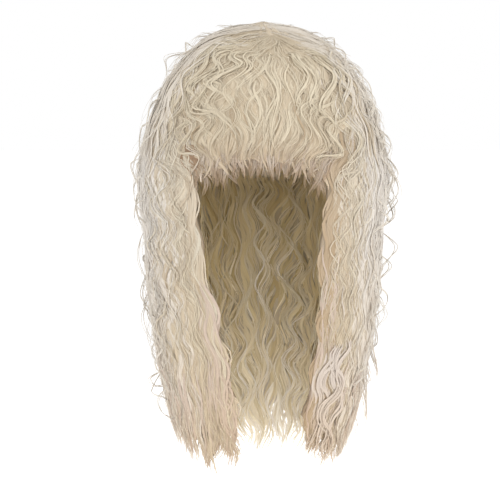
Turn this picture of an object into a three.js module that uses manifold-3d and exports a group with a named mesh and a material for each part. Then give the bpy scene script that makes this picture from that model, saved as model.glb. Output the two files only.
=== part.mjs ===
// A long curly wig: a thin hollow cap that fits over the head, and the hair that it carries in curled
// locks: the crown, the fringe over the forehead, a fall on each side of the face and the fall at the back.
// Millimetres, +Z up. The face looks along -Y, so the wearer's left is +X.
// The origin is the inside top of the cap, where the top of the head bears.
// An angle runs round the head from 0 at the middle of the face, positive towards the wearer's left.

import * as THREE from "three";
import { LoftGeometry } from "three/addons/geometries/LoftGeometry.js";
import { mergeVertices } from "three/addons/utils/BufferGeometryUtils.js";
import Module from "manifold-3d";

const wasm = await Module();
wasm.setup();

// Inside of the cap: an adult head, about 550 mm round
const HEAD = { halfBreadth: 77, halfLength: 97, domeHeight: 100, napeHeight: 160 };
const CAP_WALL = 1.6;
const SEAT_GAP = 0.4; // between pieces that are sewn together
const CAP_RINGS = 7;
const ROUND_STEPS = 26; // facets round the cap and the crown

// Outer form of the hair, from the top of the crown to the tips: its reach to the side, front and back
const OUTLINE = [
  { z: 36, half: 0, front: 0, back: 0 },
  { z: 27, half: 41, front: 41, back: 46 },
  { z: 6, half: 71, front: 70, back: 78 },
  { z: -27, half: 97, front: 96, back: 105 },
  { z: -67, half: 114, front: 111, back: 121 },
  { z: -115, half: 126, front: 119, back: 129 },
  { z: -170, half: 122, front: 117, back: 128 },
  { z: -235, half: 117, front: 110, back: 123 },
  { z: -300, half: 107, front: 103, back: 116 },
  { z: -360, half: 94, front: 95, back: 107 },
  { z: -430, half: 74, front: 84, back: 96 },
];

// Half widths of the face opening on the wearer's right and left. Above its tips they are the fringe's edges
const OPENING = [
  { z: -30, right: 84, left: 84 },
  { z: -80, right: 78, left: 78 },
  { z: -118, right: 65, left: 63 },
  { z: -185, right: 55, left: 56 },
  { z: -235, right: 45, left: 56 },
  { z: -285, right: 35, left: 54 },
  { z: -330, right: 28, left: 45 },
  { z: -430, right: 24, left: 36 },
];

// Lower edge of the cap: hairline, ear tab, hollow behind the ear, nape
const CAP_RIM = [
  { angle: 0, z: -60 },
  { angle: 38, z: -70 },
  { angle: 66, z: -126 },
  { angle: 82, z: -130 },
  { angle: 104, z: -116 },
  { angle: 145, z: -127 },
  { angle: 180, z: -132 },
];

// Where the crown's hair ends and the fringe, side and back hair come out from under it
const CROWN_EDGE = [
  { angle: 0, z: -42 },
  { angle: 36, z: -46 },
  { angle: 62, z: -84 },
  { angle: 100, z: -90 },
  { angle: 180, z: -100 },
];

// Hair wall under the locks at the sides and the back: how deep its inner face lies below the outline
const WALL_DEPTH = [
  { z: -60, side: 50, back: 32 },
  { z: -165, side: 44, back: 36 },
  { z: -235, side: 44, back: 38 },
  { z: -300, side: 40, back: 36 },
  { z: -360, side: 32, back: 30 },
  { z: -430, side: 22, back: 22 },
];
const LOCK_RELIEF = 11; // depth of the hair wall's outer face below the outline
const FACE_EDGE_DEPTH = 20; // depth of the side wall's inner face at the face opening
const EDGE_ROUNDING = 0.22; // share of a side wall over which it thickens
const SIDE_END = 99; // angle where a side wall ends and the back begins
const PARTING = 0.35; // degrees left clear between the side and the back
const SIDE_COLUMNS = 6;
const BACK_COLUMNS = 9;
const WALL_ROWS = 6;

// Fringe: its wall ends above the tips, which are longer towards the temples
const FRINGE = { inner: 3, wallEnd: -99, tipMiddle: -113, tipTemple: -124, relief: 7, columns: 7, rows: 2 };

// Side and back tips
const SIDE_TIPS = { wallEnd: -362, front: -408, rear: -386 };
const BACK_TIPS = { wallEnd: -358, middle: -406, side: -390 };

// Curled locks: how many, half width across and in depth, how far they swing from side to side and in depth,
// the length of one wave, the facets round a lock and the steps in one wave
const LOCKS = {
  crown: { count: 14, across: 19, deep: 10, swing: 6, lift: 3, pitch: 74, sides: 5, steps: 4 },
  fringe: { count: 6, across: 13, deep: 7, swing: 4, lift: 2, pitch: 56, sides: 5, steps: 4 },
  side: { count: 5, across: 16, deep: 11, swing: 7, lift: 3.5, pitch: 90, sides: 5, steps: 4 },
  back: { count: 7, across: 21, deep: 11, swing: 7, lift: 3.5, pitch: 92, sides: 5, steps: 4 },
  inside: { count: 3, across: 16, deep: 9, swing: 6, lift: 3, pitch: 92, sides: 5, steps: 4 },
};
const ROOT_SHARE = 0.4; // of a lock's width, at its root
const ROOT_LENGTH = 0.2; // share of a lock over which it reaches its full width
const TIP_LENGTH = 0.3; // share of a lock over which it narrows to its tip
const LENGTH_SAMPLES = 40; // pieces in which a lock's length is measured
const CROWN_TOP_RELIEF = 4; // depth of the crown's padding below the outline at its top
const CROWN_TOP_SHARE = 0.4; // share of the padding over which it sinks to the relief of the walls
const CROWN_ROOT_ROW = 0.75; // outline row where the crown's locks spring from the whorl
const CROWN_TIP_DROP = 34; // how far the crown's locks reach below its edge
const ROOT_RISE = 0.1; // outline rows by which the side and back locks reach up under the crown's edge
const SIDE_LOCK_SPAN = { first: 0.14, last: 0.92 }; // where the side locks lie in their wall, from the face
const INSIDE_ROOT_Z = -160; // roots of the locks on the inner face of the back
const INSIDE_SPAN = 36; // degrees either side of the back's middle that carry them

// How far tips vary in height, and the crown's locks in angle
const UNEVEN = { crownTip: 8, crownAngle: 3, fringeTip: 4, sideTip: 7, backTip: 8, insideTip: 10 };

const COLOURS = { hair: 0xd9c8aa, lowHair: 0xd6c2a6, inside: 0xb9a67f, cap: 0xcbb898 };

// Rows of a table as smooth functions of its key column, which has to rise
function readTable(rows, key, sign = 1) {
  const columns = Object.keys(rows[0]).filter((name) => name !== key);
  const places = rows.map((row) => sign * row[key]);
  const values = rows.flatMap((row) => columns.map((name) => row[name]));
  const curve = new THREE.CubicInterpolant(places, values, columns.length, new Array(columns.length));
  return (at) => {
    const found = curve.evaluate(sign * at);
    return Object.fromEntries(columns.map((name, i) => [name, found[i]]));
  };
}

const numbered = OUTLINE.map((row, number) => ({ row: number, ...row }));
const outlineAt = readTable(numbered, "row");
const openingAt = readTable(OPENING, "z", -1);
const capRimAt = readTable(CAP_RIM, "angle");
const crownEdgeAt = readTable(CROWN_EDGE, "angle");
const wallDepthAt = readTable(WALL_DEPTH, "z", -1);

const radians = THREE.MathUtils.degToRad;
const degrees = THREE.MathUtils.radToDeg;
const { lerp, smoothstep } = THREE.MathUtils;

// A repeatable number from -1 to 1 for each piece, so that no two locks curl alike
function vary(number, salt) {
  const wide = Math.sin(number * 12.9898 + salt * 78.233) * 43758.5453;
  return 2 * (wide - Math.floor(wide)) - 1;
}

// Outline row at a height
function rowAt(z) {
  let [low, high] = [0, OUTLINE.length - 1];
  for (let halving = 0; halving < 24; halving++) {
    const middle = (low + high) / 2;
    if (outlineAt(middle).z > z) low = middle;
    else high = middle;
  }
  return low;
}

function outlinePoint(angle, row) {
  const { z, half, front, back } = outlineAt(row);
  const reach = Math.cos(radians(angle)) > 0 ? front : back;
  return new THREE.Vector3(half * Math.sin(radians(angle)), -reach * Math.cos(radians(angle)), z);
}

// The directions round the head and out of the hair at a place on the outline
function directions(angle, row) {
  const step = 0.05;
  if (row < step) return { across: new THREE.Vector3(1, 0, 0), out: new THREE.Vector3(0, 0, 1) };
  const across = outlinePoint(angle + 1, row).sub(outlinePoint(angle - 1, row)).normalize();
  const down = outlinePoint(angle, row + step).sub(outlinePoint(angle, row - step));
  return { across, out: down.cross(across).normalize() };
}

function hairPoint(angle, row, depth) {
  return outlinePoint(angle, row).addScaledVector(directions(angle, row).out, -depth);
}

// Half breadth and half length of the head, grown by an offset, at a height
function headSection(z, offset) {
  const rise = z + HEAD.domeHeight;
  const reach = offset + (rise > 0 ? HEAD.domeHeight : HEAD.napeHeight);
  const share = Math.sqrt(Math.max(0, 1 - (rise / reach) ** 2));
  return { half: (HEAD.halfBreadth + offset) * share, length: (HEAD.halfLength + offset) * share };
}

function headPoint(angle, z, offset) {
  const { half, length } = headSection(z, offset);
  return new THREE.Vector3(half * Math.sin(radians(angle)), -length * Math.cos(radians(angle)), z);
}

// Moves a point straight out until it clears the cap
function clearOfCap(point, offset) {
  const { half, length } = headSection(point.z, offset);
  const inside = Math.hypot(point.x / half, point.y / length);
  if (inside < 1) point.set(point.x / inside, point.y / inside, point.z);
  return point;
}

// One ring of points round the head's form, at a share of the way from its top to an edge
function headRing(share, edgeZ, offset) {
  return roundHead((angle) => {
    const rise = edgeZ(Math.abs(angle)) + HEAD.domeHeight;
    const whole = Math.acos(rise / (offset + (rise > 0 ? HEAD.domeHeight : HEAD.napeHeight)));
    const turn = whole * share;
    const reach = offset + (turn < Math.PI / 2 ? HEAD.domeHeight : HEAD.napeHeight);
    return headPoint(angle, reach * Math.cos(turn) - HEAD.domeHeight, offset);
  });
}

function roundHead(pointAt) {
  return Array.from({ length: ROUND_STEPS }, (_, i) => pointAt(180 - (360 * i) / ROUND_STEPS));
}

// A closed geometry as a solid. Where a ring has shrunk to a point, its faces without area are left out
function solidOf(geometry) {
  const bare = new THREE.BufferGeometry();
  bare.setAttribute("position", geometry.attributes.position);
  bare.setIndex(geometry.index);
  const merged = mergeVertices(bare);
  const corners = merged.index.array;
  const kept = [];
  for (let i = 0; i < corners.length; i += 3) {
    const [a, b, c] = corners.slice(i, i + 3);
    if (a !== b && b !== c && c !== a) kept.push(a, b, c);
  }
  const vertProperties = merged.attributes.position.array;
  return new wasm.Manifold(new wasm.Mesh({ numProp: 3, vertProperties, triVerts: Uint32Array.from(kept) }));
}

// The one body that is left of a solid, without loose chips or air sealed between its locks
function largestBody(solid) {
  const bodies = solid.decompose();
  return bodies.reduce((best, body) => (body.volume() > best.volume() ? body : best));
}

function fuse(solids) {
  return solids.reduce((whole, solid) => whole.add(solid));
}

// A hollow dome from rings: down its outer face and up its inner face
function dome(outerRing, innerRing, rings) {
  const shares = Array.from({ length: rings + 1 }, (_, i) => i / rings);
  const sections = [...shares.map(outerRing), ...shares.toReversed().map(innerRing)];
  return solidOf(new LoftGeometry(sections));
}

// A hair wall that runs round the head: each section goes down its outer face and up its inner face
function wall(columns, rows, outerPoint, innerPoint) {
  const shares = Array.from({ length: rows + 1 }, (_, i) => i / rows);
  const sections = Array.from({ length: columns + 1 }, (_, i) => {
    const across = i / columns;
    const outer = shares.map((down) => outerPoint(across, down));
    const inner = shares.toReversed().map((down) => innerPoint(across, down));
    return [...outer, ...inner];
  });
  return solidOf(new LoftGeometry(sections, { capStart: true, capEnd: true }));
}

// One curled lock along the hair. Its middle follows angleAt(row) at a depth, and swings as it goes down
function lock({ angleAt, rootRow, tipRow, depth, form, phase, grow = 0 }) {
  const middleAt = (share) => {
    const row = lerp(rootRow, tipRow, share);
    const angle = angleAt(row);
    return { ...directions(angle, row), point: hairPoint(angle, row, depth) };
  };
  let length = 0;
  for (let i = 0; i < LENGTH_SAMPLES; i++) {
    const [from, to] = [i / LENGTH_SAMPLES, (i + 1) / LENGTH_SAMPLES];
    length += middleAt(from).point.distanceTo(middleAt(to).point);
  }
  const steps = Math.max(4, Math.round((length / form.pitch) * form.steps));
  const sections = Array.from({ length: steps + 1 }, (_, i) => {
    const share = i / steps;
    const { point, across, out } = middleAt(share + ((2 * share - 1) * grow) / length);
    const turn = phase + (2 * Math.PI * share * length) / form.pitch;
    const loose = smoothstep(share, 0, ROOT_LENGTH);
    point.addScaledVector(across, form.swing * loose * Math.sin(turn));
    point.addScaledVector(out, form.lift * loose * Math.cos(turn));
    const root = lerp(ROOT_SHARE, 1, loose);
    const tip = Math.sqrt(Math.min(1, (1 - share) / TIP_LENGTH));
    const ends = i === 0 || i === steps ? 0 : 1;
    const wide = ends * (form.across * root * tip + grow);
    const deep = ends * (form.deep * root * tip + grow);
    return Array.from({ length: form.sides }, (__, side) => {
      const round = (2 * Math.PI * side) / form.sides;
      return point
        .clone()
        .addScaledVector(across, wide * Math.cos(round))
        .addScaledVector(out, deep * Math.sin(round));
    });
  });
  return solidOf(new LoftGeometry(sections));
}

const lockDepth = (form) => form.deep + form.lift;

// Thin cap with its rim along the hairline, over the ear tabs and round the nape
function wigCap() {
  const rim = (angle) => capRimAt(angle).z;
  return dome(
    (share) => headRing(share, rim, CAP_WALL),
    (share) => headRing(share, rim, 0),
    CAP_RINGS,
  );
}

// The head with the cap on it, as room to leave in the hair
function cappedHead() {
  const rim = (angle) => capRimAt(angle).z - SEAT_GAP;
  const shares = Array.from({ length: CAP_RINGS + 1 }, (_, i) => i / CAP_RINGS);
  const rings = shares.map((share) => headRing(share, rim, CAP_WALL + SEAT_GAP));
  const lowest = Math.min(...CAP_RIM.map((row) => row.z)) - SEAT_GAP;
  const middle = roundHead(() => new THREE.Vector3(0, 0, lowest));
  return solidOf(new LoftGeometry([...rings, middle]));
}

// Crown: a padded dome of hair on the cap, with locks from the whorl to below its edge
function crownHair(grow) {
  const form = LOCKS.crown;
  const edge = (angle) => crownEdgeAt(angle).z;
  const reliefAt = (share) => lerp(CROWN_TOP_RELIEF, LOCK_RELIEF, smoothstep(share, 0, CROWN_TOP_SHARE));
  const padding = dome(
    (share) =>
      roundHead((angle) =>
        hairPoint(angle, share * rowAt(edge(Math.abs(angle)) - grow), reliefAt(share) - grow),
      ),
    (share) => headRing(share, (angle) => edge(angle) - grow, 0),
    CAP_RINGS,
  );
  const locks = Array.from({ length: form.count }, (_, i) => {
    const angle = 360 * ((i + 0.5) / form.count) - 180;
    const tipZ = edge(Math.abs(angle)) - CROWN_TIP_DROP - UNEVEN.crownTip * vary(i, 1);
    return lock({
      angleAt: () => angle + UNEVEN.crownAngle * vary(i, 2),
      rootRow: CROWN_ROOT_ROW,
      tipRow: rowAt(tipZ),
      depth: lockDepth(form),
      phase: Math.PI * vary(i, 3),
      form,
      grow,
    });
  });
  return fuse([padding, ...locks]);
}

// Angle of the face opening's edge at a height, on the wearer's left (side 1) or right (side -1)
function openingAngle(z, side) {
  const opening = openingAt(z);
  const half = outlineAt(rowAt(z)).half;
  return degrees(Math.asin((side > 0 ? opening.left : opening.right) / half));
}

// Fringe: a curved wall of hair over the forehead, ending in pointed locks
function fringe(grow) {
  const form = LOCKS.fringe;
  const spare = degrees(grow / HEAD.halfBreadth);
  const edgeAngle = (share, z) => lerp(-openingAngle(z, -1) - spare, openingAngle(z, 1) + spare, share);
  const topZ = (angle) => crownEdgeAt(Math.abs(angle)).z - SEAT_GAP + grow;
  const endZ = FRINGE.wallEnd - grow;
  const heightAt = (share, down) => lerp(topZ(edgeAngle(share, CROWN_EDGE[1].z)), endZ, down);
  const backing = wall(
    FRINGE.columns,
    FRINGE.rows,
    (share, down) => {
      const z = heightAt(share, down);
      return hairPoint(edgeAngle(share, z), rowAt(z), FRINGE.relief - grow);
    },
    (share, down) => {
      const z = heightAt(share, down);
      return headPoint(edgeAngle(share, z), z, FRINGE.inner - grow);
    },
  );
  const locks = Array.from({ length: form.count }, (_, i) => {
    const share = (i + 0.5) / form.count;
    const temple = Math.abs(2 * share - 1);
    const tipZ = lerp(FRINGE.tipMiddle, FRINGE.tipTemple, temple ** 2) + UNEVEN.fringeTip * vary(i, 4);
    return lock({
      angleAt: (row) => edgeAngle(share, outlineAt(row).z),
      rootRow: rowAt(CROWN_EDGE[0].z - SEAT_GAP),
      tipRow: rowAt(tipZ),
      depth: lockDepth(form),
      phase: Math.PI * vary(i, 5),
      form,
      grow,
    });
  });
  return fuse([backing, ...locks]);
}

// One side's fall, from under the crown's edge beside the face to its tips
function sideFall(side, grow) {
  const form = LOCKS.side;
  const spare = degrees(grow / HEAD.halfBreadth);
  const endAngle = SIDE_END - PARTING + spare;
  const angleAt = (share, row) => side * lerp(openingAngle(outlineAt(row).z, side) - spare, endAngle, share);
  const topRow = (share) => rowAt(crownEdgeAt(lerp(CROWN_EDGE[1].angle, endAngle, share)).z - SEAT_GAP);
  const rowDown = (share, down) => lerp(topRow(share), rowAt(SIDE_TIPS.wallEnd), down);
  const place = (across) => (side > 0 ? across : 1 - across);
  const backing = wall(
    SIDE_COLUMNS,
    WALL_ROWS,
    (across, down) => {
      const row = rowDown(place(across), down);
      return hairPoint(angleAt(place(across), row), row, LOCK_RELIEF - grow);
    },
    (across, down) => {
      const share = place(across);
      const row = rowDown(share, down);
      const full = wallDepthAt(outlineAt(row).z).side;
      const depth = lerp(FACE_EDGE_DEPTH, full, Math.sqrt(Math.min(1, share / EDGE_ROUNDING))) + grow;
      return clearOfCap(hairPoint(angleAt(share, row), row, depth), CAP_WALL + SEAT_GAP - grow);
    },
  );
  const locks = Array.from({ length: form.count }, (_, i) => {
    const share = lerp(SIDE_LOCK_SPAN.first, SIDE_LOCK_SPAN.last, i / (form.count - 1));
    const tipZ = lerp(SIDE_TIPS.front, SIDE_TIPS.rear, share) + UNEVEN.sideTip * vary(i, 6 + side);
    return lock({
      angleAt: (row) => angleAt(share, row),
      rootRow: topRow(share) - ROOT_RISE,
      tipRow: rowAt(tipZ),
      depth: lockDepth(form),
      phase: Math.PI * vary(i, 8 + side),
      form,
      grow,
    });
  });
  return fuse([backing, ...locks]);
}

// The back's fall, with locks on its outer face and on the inner face that shows through the face opening
function backFall() {
  const start = SIDE_END + PARTING;
  const angleAt = (share) => lerp(start, 360 - start, share);
  const topRow = (share) => rowAt(crownEdgeAt(Math.min(angleAt(share), 360 - angleAt(share))).z - SEAT_GAP);
  const rowDown = (share, down) => lerp(topRow(share), rowAt(BACK_TIPS.wallEnd), down);
  const backing = wall(
    BACK_COLUMNS,
    WALL_ROWS,
    (share, down) => hairPoint(angleAt(share), rowDown(share, down), LOCK_RELIEF),
    (share, down) => {
      const row = rowDown(share, down);
      const depth = wallDepthAt(outlineAt(row).z).back;
      return clearOfCap(hairPoint(angleAt(share), row, depth), CAP_WALL + SEAT_GAP);
    },
  );
  const tipZ = (share) => lerp(BACK_TIPS.middle, BACK_TIPS.side, Math.abs(2 * share - 1) ** 2);
  const outer = Array.from({ length: LOCKS.back.count }, (_, i) => {
    const share = (i + 0.5) / LOCKS.back.count;
    return lock({
      angleAt: () => angleAt(share),
      rootRow: topRow(share) - ROOT_RISE,
      tipRow: rowAt(tipZ(share) + UNEVEN.backTip * vary(i, 11)),
      depth: lockDepth(LOCKS.back),
      phase: Math.PI * vary(i, 12),
      form: LOCKS.back,
    });
  });
  const inner = Array.from({ length: LOCKS.inside.count }, (_, i) => {
    const angle = 180 + INSIDE_SPAN * ((2 * i) / (LOCKS.inside.count - 1) - 1);
    return lock({
      angleAt: () => angle,
      rootRow: rowAt(INSIDE_ROOT_Z),
      tipRow: rowAt(BACK_TIPS.side + UNEVEN.insideTip * vary(i, 13)),
      depth: WALL_DEPTH[2].back - LOCKS.inside.lift,
      phase: Math.PI * vary(i, 14),
      form: LOCKS.inside,
    });
  });
  return fuse([backing, ...outer, ...inner]);
}

function meshOf(name, solid, color, roughness) {
  const made = solid.getMesh();
  const geometry = new THREE.BufferGeometry();
  geometry.setAttribute("position", new THREE.BufferAttribute(made.vertProperties, 3));
  geometry.setIndex(new THREE.BufferAttribute(made.triVerts, 1));
  const mesh = new THREE.Mesh(geometry, new THREE.MeshStandardMaterial({ color, roughness, metalness: 0 }));
  mesh.name = name;
  return mesh;
}

// Each piece is cut clear of the cap and of those that lie over it
const capRoom = cappedHead();
const crown = largestBody(crownHair(0).subtract(capRoom));
const crownRoom = largestBody(crownHair(SEAT_GAP).add(crown));
const front = largestBody(fringe(0).subtract(capRoom).subtract(crownRoom));
const frontRoom = largestBody(fringe(SEAT_GAP).add(front));
const upperRoom = fuse([capRoom, crownRoom, frontRoom]);
const cutSide = (side) => largestBody(sideFall(side, 0).subtract(upperRoom));
const rightFall = cutSide(-1);
const leftFall = cutSide(1);
const sideRoom = fuse([sideFall(-1, SEAT_GAP), sideFall(1, SEAT_GAP), rightFall, leftFall]);
const back = largestBody(backFall().subtract(upperRoom).subtract(sideRoom));

const wig = new THREE.Group();
wig.add(
  meshOf("wig_cap", wigCap(), COLOURS.cap, 0.9),
  meshOf("crown_hair", crown, COLOURS.hair, 0.55),
  meshOf("fringe", front, COLOURS.hair, 0.55),
  meshOf("right_fall", rightFall, COLOURS.lowHair, 0.55),
  meshOf("left_fall", leftFall, COLOURS.lowHair, 0.55),
  meshOf("back_fall", back, COLOURS.inside, 0.55),
);

export default wig;
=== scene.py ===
"""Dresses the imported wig: a soft mass of hair on a net cap, with curled wisps and strands over it.

Metres, +Z up, the face towards -Y and the wearer's left towards +X, as in the frame.
An angle runs round the head from 0 at the middle of the face, positive towards the wearer's left.
A row counts down the outline of the hair, from 0 at the top of the crown to the tips.
A side is 1 on the wearer's left and -1 on the right.
"""

import math
from typing import NamedTuple

import bpy
import numpy as np
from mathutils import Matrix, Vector


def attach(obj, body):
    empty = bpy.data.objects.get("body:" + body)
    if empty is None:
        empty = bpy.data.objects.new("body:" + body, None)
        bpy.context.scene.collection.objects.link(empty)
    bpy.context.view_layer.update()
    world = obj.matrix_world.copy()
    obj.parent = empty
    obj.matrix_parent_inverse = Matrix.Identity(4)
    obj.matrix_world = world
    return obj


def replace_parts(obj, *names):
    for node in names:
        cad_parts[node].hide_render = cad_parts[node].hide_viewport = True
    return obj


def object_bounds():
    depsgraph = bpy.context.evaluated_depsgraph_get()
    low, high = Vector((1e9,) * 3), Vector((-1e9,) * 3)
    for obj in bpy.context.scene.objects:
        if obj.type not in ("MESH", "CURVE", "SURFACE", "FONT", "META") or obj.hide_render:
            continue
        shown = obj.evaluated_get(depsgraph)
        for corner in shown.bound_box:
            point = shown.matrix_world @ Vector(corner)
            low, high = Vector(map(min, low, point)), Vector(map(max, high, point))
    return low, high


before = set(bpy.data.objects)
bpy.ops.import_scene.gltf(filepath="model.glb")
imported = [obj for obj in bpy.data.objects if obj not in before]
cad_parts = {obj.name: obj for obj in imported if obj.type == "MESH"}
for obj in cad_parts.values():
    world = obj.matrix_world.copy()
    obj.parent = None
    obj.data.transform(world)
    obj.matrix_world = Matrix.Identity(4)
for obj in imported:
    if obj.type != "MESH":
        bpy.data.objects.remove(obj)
CAD_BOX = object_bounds()
MM = 0.001
ROUND = 2 * math.pi
SEEDS = {"crown": 11, "fringe": 23, "right_fall": 31, "left_fall": 37, "back": 47, "flyaways": 61}

# Outer form of the hair by rows: height, then reach to the side, the front and the back
OUTLINE = MM * np.array([
    (35, 0, 0, 0),
    (25, 41, 41, 46),
    (6, 71, 70, 78),
    (-27, 97, 96, 105),
    (-67, 114, 111, 121),
    (-115, 125, 119, 129),
    (-170, 119, 117, 128),
    (-235, 115, 110, 123),
    (-300, 106, 103, 116),
    (-360, 94, 95, 107),
    (-430, 74, 84, 96),
])
LAST_ROW = 9.8  # of the lowest tips
WHORL_LAST_ROW = 3.5  # of the rows that the whorl looks up
POLE_SHARE = 0.01  # of a dome's first ring on the way down from its top

# Face opening: height, then half width on the wearer's right and left
OPENING = MM * np.array([
    (-30, 84, 84),
    (-80, 75, 75),
    (-118, 65, 63),
    (-150, 67, 62),
    (-180, 59, 56),
    (-204, 60, 57),
    (-235, 49, 57),
    (-285, 39, 52),
    (-330, 31, 45),
    (-430, 26, 36),
])
OPENING_LIMIT = 0.98  # greatest share of the outline's half width
EDGE_WAVE = 3 * MM  # of the opening's edge beside the chin and the neck
EDGE_PITCH = 47 * MM
EDGE_WAVE_FALL = (190 * MM, 300 * MM)  # below the origin, where it starts and is full

# Depth of the inner face of the hair: height, then depth at the sides and at the back
WALL_DEPTH = MM * np.array([
    (-60, 50, 32),
    (-165, 44, 36),
    (-235, 44, 38),
    (-300, 40, 36),
    (-360, 32, 30),
    (-430, 22, 22),
])
FACE_EDGE_DEPTH = 6 * MM  # of a side fall at its edge beside the face
FACE_EDGE_WIDTH = 0.32  # share of a side fall over which it thickens from there

# Angle in degrees and height in millimetres of the cap's rim and of the crown's lower edge
CAP_RIM = np.array([
    (0, -60), (38, -70), (66, -126), (82, -130), (104, -116), (145, -127), (180, -132),
])
CROWN_EDGE = np.array([(0, -42), (36, -46), (62, -84), (100, -90), (180, -100)])

# Tips along a side fall, from the face to the back: share of the fall, then height on the right and left
SIDE_TIPS = np.array([
    (0.0, -398, -384),
    (0.13, -394, -390),
    (0.24, -406, -394),
    (0.38, -402, -406),
    (0.55, -396, -398),
    (0.75, -392, -391),
    (1.0, -386, -384),
])
BACK_TIPS = (-402 * MM, -388 * MM)  # middle and sides of the back

# Pointed locks that the hair ends in: their edges across a side fall and the back, and how they close
SIDE_LOCKS = np.array((-0.1, 0.12, 0.36, 0.72, 1.28))
BACK_LOCKS = np.arange(-1, 14, 2) / 12
LOCK_NOTCH = 6 * MM
LOCK_DRAW = 0.2
LOCK_START = 0.72  # share of a strand where it begins to be drawn in

HEAD_HALF_BREADTH = 77 * MM
HEAD_HALF_LENGTH = 97 * MM
HEAD_DOME = 100 * MM
HEAD_NAPE = 160 * MM
CAP_INSIDE = 0.2 * MM  # from the head's form to the cap's inner face
CAP_OUTSIDE = 1.4 * MM
CAP_CLEARANCE = 2.2 * MM  # from the head's form to the hair

SIDE_DEGREES = (36, 98)  # of a side fall, from its start at the crown's edge to the back
SIDE_END = math.radians(SIDE_DEGREES[1])
SIDE_GAP = 0.02  # radians between a side fall and the back
PARTING_FRONT = np.array((9 * MM, -48 * MM))
PARTING_BACK = np.array((-7 * MM, 8 * MM))
PARTING_DEGREES = (40, 140)  # from the parting's front to its back
PARTING_REACH = 2.6  # row that the parting's shift dies out at
SETTLED_ROWS = (2.0, 2.8)  # from the whorl's places to the outline's own
CROWN_STRETCH = (0.985, 1.09)  # length over breadth of the crown's front and back

# Waves of the hair and change of their swing: strength, waves round the head, turn in a row, start
HAIR_WAVES = ((1.7, 3, 0.6, 0.0), (1.3, 7, -0.5, 2.0), (0.8, 13, 0.8, 4.0))
SWING_CHANGE = (0.35, 5, 0.9, 1.0)

# The soft mass of hair and its ridges
MASS_DEPTH = 1.8 * MM  # below the outline
MASS_RELIEF = 0.5 * MM
RIDGES = 36  # round the head
FINE_RIDGES = 2.3 * RIDGES
FINE_SHARE = 0.35  # of the relief
FINE_DRIFT = 1.1  # turn of the fine ridges in a row
RIDGE_SWAY = (1.8, 2.6)  # turn of the broad and the fine ridges as they sway
SWAY_TURN = 2.4  # in a row
SWAY_SHIFT = 4  # from the front to the sides
TIP_SINK = 3 * MM  # of the mass's outer face at the tips
TIP_DEPTH = 10 * MM  # of its inner face there
UNDER_CROWN = 8 * MM  # that a fall reaches up under the crown's edge
OVER_THE_RIM = 4 * MM  # from the inner face of the back in to the hair over the cap's rim

# How the strands of a layer lie
CLUMP_SCATTER = 0.55  # of strands about the middle of a clump, in spreads
CLUMP_LIMIT = 1.2
DEPTH_SCATTER = 0.4  # of a clump in depth, over its scatter sideways
ROOT_RISE = 0.12  # share of a strand over which it comes out of the mass
HANG_START = 0.4  # share of a strand where it begins to hang away
SMOOTH_START = 0.45  # share of a strand where it begins to wave less
OUT_OF_STEP = 0.15  # radians between the strands of a clump
SWING_RANGE = (0.7, 1.3)
SWING_SCATTER = 0.1
LIFT_TURN = 0.5  # waves in depth to a wave sideways
THINNESS = 1.6  # above 1, so that thin strands are common
ROOT_WIDTH = 0.5  # of a strand's width
ROOT_TAPER = 0.15  # share of a strand that widens from its root
TIP_TAPER = 0.85
TIP_TAPER_POWER = 3.5
TONE_SCATTER = 0.2
LEAN = 0.05  # radians that a clump leans to a side on its way down
PLACE_SCATTER = 0.003  # of strands across a fall
SOFTNESS = 0.88  # share of the hair's own surface direction in a strand's shading

# The charts that materials follow over the pieces
CHART = "OFBake"
TONES = 64  # columns that strands pick their tones from
CHART_MARGIN = 0.1  # of a tube's side to its place in the chart
CHART_END = 0.01  # height of the places of a tube's ends and of a dome's poles
TUBE_SIDES = 3
FACING_OUT = np.array((True, False, True))[:, None]  # sides of a tube that face out of the hair

WHITE = (1, 1, 1)
SHADE = (0.38, 0.28, 0.175)
TAN = (0.48, 0.38, 0.265)
CREAM = (0.545, 0.458, 0.338)
PALE = (0.70, 0.62, 0.475)
PEACH = (0.51, 0.40, 0.31)
ROSE = (0.57, 0.48, 0.395)
COOL = (1.23, 1.32, 1.54)  # change of a tone from the wig's front to its sides and back


def cooled(colour):
    return tuple(part * change for part, change in zip(colour, COOL))


# Tones across the chart of the hair: warm, then cool, then those of the tips and the fringe
HAIR_TONES = [
    (0.0, SHADE),
    (0.15, TAN),
    (0.29, CREAM),
    (0.42, PALE),
    (0.44, cooled(SHADE)),
    (0.59, cooled(TAN)),
    (0.73, cooled(CREAM)),
    (0.86, cooled(PALE)),
    (0.88, PEACH),
    (0.925, PEACH),
    (0.945, ROSE),
    (1.0, ROSE),
]
COOL_START = 0.44  # of the cool tones in the chart
CHART_PER_TONE = 0.5  # reach of a layer's tone across the warm or the cool tones
MOST_TONE = 0.85  # of such a layer. Above it, a tone is a place in the chart
CREAM_TONE = 0.58  # of most of the hair
COOL_SPREAD = 0.4  # of the cool tones about cream
COOL_DEGREES = (30, 75)  # from warm hair to cool hair
PEACH_TONES = (0.89, 0.915)
ROSE_TONES = (0.95, 0.985)
FRINGE_EDGE_TONES = (0.9, 0.985)

# Other tones across a chart
# The mass's own streaks, kept darker than the strands as painted shade for the gaps between them
MASS_TONES_AND_GAP_SHADE = [(0.3, (0.475, 0.395, 0.295)), (0.5, (0.51, 0.43, 0.325)), (0.72, CREAM)]
# Painted shadow: dark brown strands for the shade in the gap where the fringe meets the right fall
PAINTED_SHADOW_TONES = [(0.0, (0.28, 0.18, 0.11)), (1.0, (0.4, 0.29, 0.195))]
INSIDE_TONES = [
    (0.0, (0.50, 0.38, 0.18)),
    (0.4, (0.78, 0.65, 0.39)),
    (0.7, (0.80, 0.70, 0.49)),
    (1.0, (0.82, 0.73, 0.545)),
]

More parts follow.
